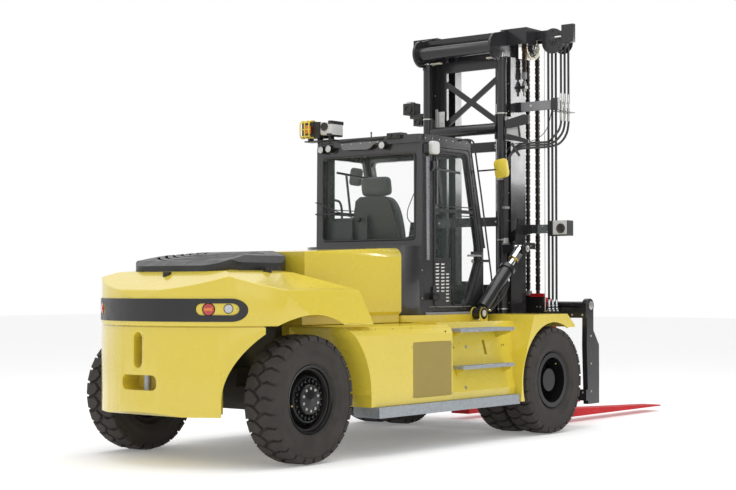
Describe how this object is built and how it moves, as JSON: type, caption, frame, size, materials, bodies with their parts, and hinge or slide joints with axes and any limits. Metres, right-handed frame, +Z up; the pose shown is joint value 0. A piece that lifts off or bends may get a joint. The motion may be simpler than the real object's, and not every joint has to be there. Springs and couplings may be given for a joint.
{
  "type": "electric forklift truck",
  "caption": "Heavy counterbalanced electric forklift with twin front tyres, steered rear wheels, glazed cab, tilting mast, fork carriage and forks.",
  "frame": {"origin": "on the ground under the middle of the bounding box", "axes": "+X forward towards the fork tips, +Y to the left of the truck, +Z up"},
  "size_m": [8.175, 2.54, 4.373],
  "materials": {
    "yellow": "gloss",
    "black": "satin",
    "cast_black": "satin",
    "black_plastic": "matte",
    "galvanised": "satin",
    "bright_rod": "polished",
    "tyre_rubber": "matte",
    "hose_rubber": "satin",
    "chain_steel": "satin",
    "tinted_glass": "gloss",
    "fork_red": "gloss",
    "seat_cloth": "matte",
    "lamp_red": "gloss",
    "grille_bronze": "satin",
    "battery_grey": "satin",
    "steel_grey": "satin"
  },
  "bodies": {
    "truck": {"chassis_frame": "black", "counterweight": "yellow", "tail_hood": "yellow", "tail_band": "black_plastic", "tail_lamps": "lamp_red", "cooling_cover": "black_plastic", "rear_hood": "yellow", "battery_pack": "battery_grey", "side_panels": "yellow", "side_grilles": "grille_bronze", "front_fenders": "yellow", "side_steps": "galvanised", "cab_deck": "yellow", "cab_base": "black", "cab_pillars": "black", "cab_roof": "black", "cab_glass": "tinted_glass", "operator_seat": "seat_cloth", "seat_frame": "black", "front_console": "black_plastic", "mirror_rails": "black", "mirror_heads": "yellow", "roof_equipment": "black_plastic", "tow_pin": "steel_grey", "drive_axle": "cast_black", "steer_axle": "cast_black"},
    "door_right": {"door_frame_right": "black", "door_glass_right": "tinted_glass"},
    "door_left": {"door_frame_left": "black", "door_glass_left": "tinted_glass"},
    "drive_wheel_right": {"drive_tyres_right": "tyre_rubber", "drive_rims_right": "black"},
    "drive_wheel_left": {"drive_tyres_left": "tyre_rubber", "drive_rims_left": "black"},
    "steer_knuckle_right": {"knuckle_right": "cast_black"},
    "steer_knuckle_left": {"knuckle_left": "cast_black"},
    "steer_wheel_right": {"steer_tyre_right": "tyre_rubber", "steer_hub_right": "black"},
    "steer_wheel_left": {"steer_tyre_left": "tyre_rubber", "steer_hub_left": "black"},
    "mast_outer": {"outer_mast": "black", "lift_barrels": "black", "sensor_arms": "black", "chain_tails": "chain_steel", "hose_tails": "hose_rubber"},
    "mast_inner": {"inner_mast": "black", "lift_rods": "bright_rod", "mast_wheels": "chain_steel", "lift_chains": "chain_steel", "lift_hoses": "hose_rubber"},
    "fork_carriage": {"carriage": "black"},
    "fork_body_right": {"fork_right": "fork_red"},
    "fork_body_left": {"fork_left": "fork_red"},
    "tilt_cylinder_right": {"tilt_barrel_right": "black"},
    "tilt_cylinder_left": {"tilt_barrel_left": "black"},
    "tilt_piston_right": {"tilt_rod_right": "bright_rod"},
    "tilt_piston_left": {"tilt_rod_left": "bright_rod"},
    "hand_wheel": {"steering_wheel": "black_plastic"}
  },
  "joints": [
    {"name": "door_right_hinge", "type": "hinge", "parent": "truck", "child": "door_right", "pos_m": [-0.7245, -0.699, 2.1], "axis": [0, 0, -1], "range_deg": [0, 80]},
    {"name": "drive_wheel_right_spin", "type": "hinge", "parent": "truck", "child": "drive_wheel_right", "pos_m": [0.6475, 0, 0.56], "axis": [0, 1, 0], "continuous": true},
    {"name": "steer_right", "type": "hinge", "parent": "truck", "child": "steer_knuckle_right", "pos_m": [-3.1025, -0.8, 0.56], "axis": [0, 0, 1], "range_deg": [-35, 35]},
    {"name": "steer_wheel_right_spin", "type": "hinge", "parent": "steer_knuckle_right", "child": "steer_wheel_right", "pos_m": [-3.1025, -0.99, 0.56], "axis": [0, 1, 0], "continuous": true},
    {"name": "door_left_hinge", "type": "hinge", "parent": "truck", "child": "door_left", "pos_m": [-0.7245, 0.699, 2.1], "axis": [0, 0, 1], "range_deg": [0, 80]},
    {"name": "drive_wheel_left_spin", "type": "hinge", "parent": "truck", "child": "drive_wheel_left", "pos_m": [0.6475, 0, 0.56], "axis": [0, 1, 0], "continuous": true},
    {"name": "steer_left", "type": "hinge", "parent": "truck", "child": "steer_knuckle_left", "pos_m": [-3.1025, 0.8, 0.56], "axis": [0, 0, 1], "range_deg": [-35, 35]},
    {"name": "steer_wheel_left_spin", "type": "hinge", "parent": "steer_knuckle_left", "child": "steer_wheel_left", "pos_m": [-3.1025, 0.99, 0.56], "axis": [0, 1, 0], "continuous": true},
    {"name": "mast_tilt", "type": "hinge", "parent": "truck", "child": "mast_outer", "pos_m": [0.8475, 0, 0.45], "axis": [0, -1, 0], "range_deg": [-10, 6]},
    {"name": "mast_lift", "type": "slide", "parent": "mast_outer", "child": "mast_inner", "axis": [0, 0, 1], "range_m": [0, 2.55], "deforming": ["chain_tails", "hose_tails"]},
    {"name": "carriage_lift", "type": "slide", "parent": "mast_inner", "child": "fork_carriage", "axis": [0, 0, 1], "range_m": [0, 2.55], "deforming": ["lift_chains", "lift_hoses"]},
    {"name": "fork_right_shift", "type": "slide", "parent": "fork_carriage", "child": "fork_body_right", "axis": [0, -1, 0], "range_m": [-0.3, 0.45]},
    {"name": "tilt_barrel_right_swing", "type": "hinge", "parent": "truck", "child": "tilt_cylinder_right", "pos_m": [-0.0325, -0.77, 1.262], "axis": [0, -1, 0], "range_deg": [-10, 10]},
    {"name": "tilt_rod_right_slide", "type": "slide", "parent": "tilt_cylinder_right", "child": "tilt_piston_right", "axis": [0.7605, 0, 0.6493], "range_m": [-0.15, 0.23]},
    {"name": "fork_left_shift", "type": "slide", "parent": "fork_carriage", "child": "fork_body_left", "axis": [0, 1, 0], "range_m": [-0.3, 0.45]},
    {"name": "tilt_barrel_left_swing", "type": "hinge", "parent": "truck", "child": "tilt_cylinder_left", "pos_m": [-0.0325, 0.77, 1.262], "axis": [0, -1, 0], "range_deg": [-10, 10]},
    {"name": "tilt_rod_left_slide", "type": "slide", "parent": "tilt_cylinder_left", "child": "tilt_piston_left", "axis": [0.7605, 0, 0.6493], "range_m": [-0.15, 0.23]},
    {"name": "hand_wheel_turn", "type": "hinge", "parent": "truck", "child": "hand_wheel", "pos_m": [0.0823, 0, 1.6544], "axis": [-0.4067, 0, 0.9135], "range_deg": [-540, 540]}
  ],
  "couplings": [
    {"joint": "steer_left", "follows": "steer_right", "ratio": 1},
    {"joint": "carriage_lift", "follows": "mast_lift", "ratio": 1},
    {"joint": "tilt_barrel_right_swing", "follows": "mast_tilt", "ratio": 0.83738},
    {"joint": "tilt_rod_right_slide", "follows": "mast_tilt", "m_per_rad": -1.1871},
    {"joint": "tilt_barrel_left_swing", "follows": "mast_tilt", "ratio": 0.83738},
    {"joint": "tilt_rod_left_slide", "follows": "mast_tilt", "m_per_rad": -1.1871}
  ]
}
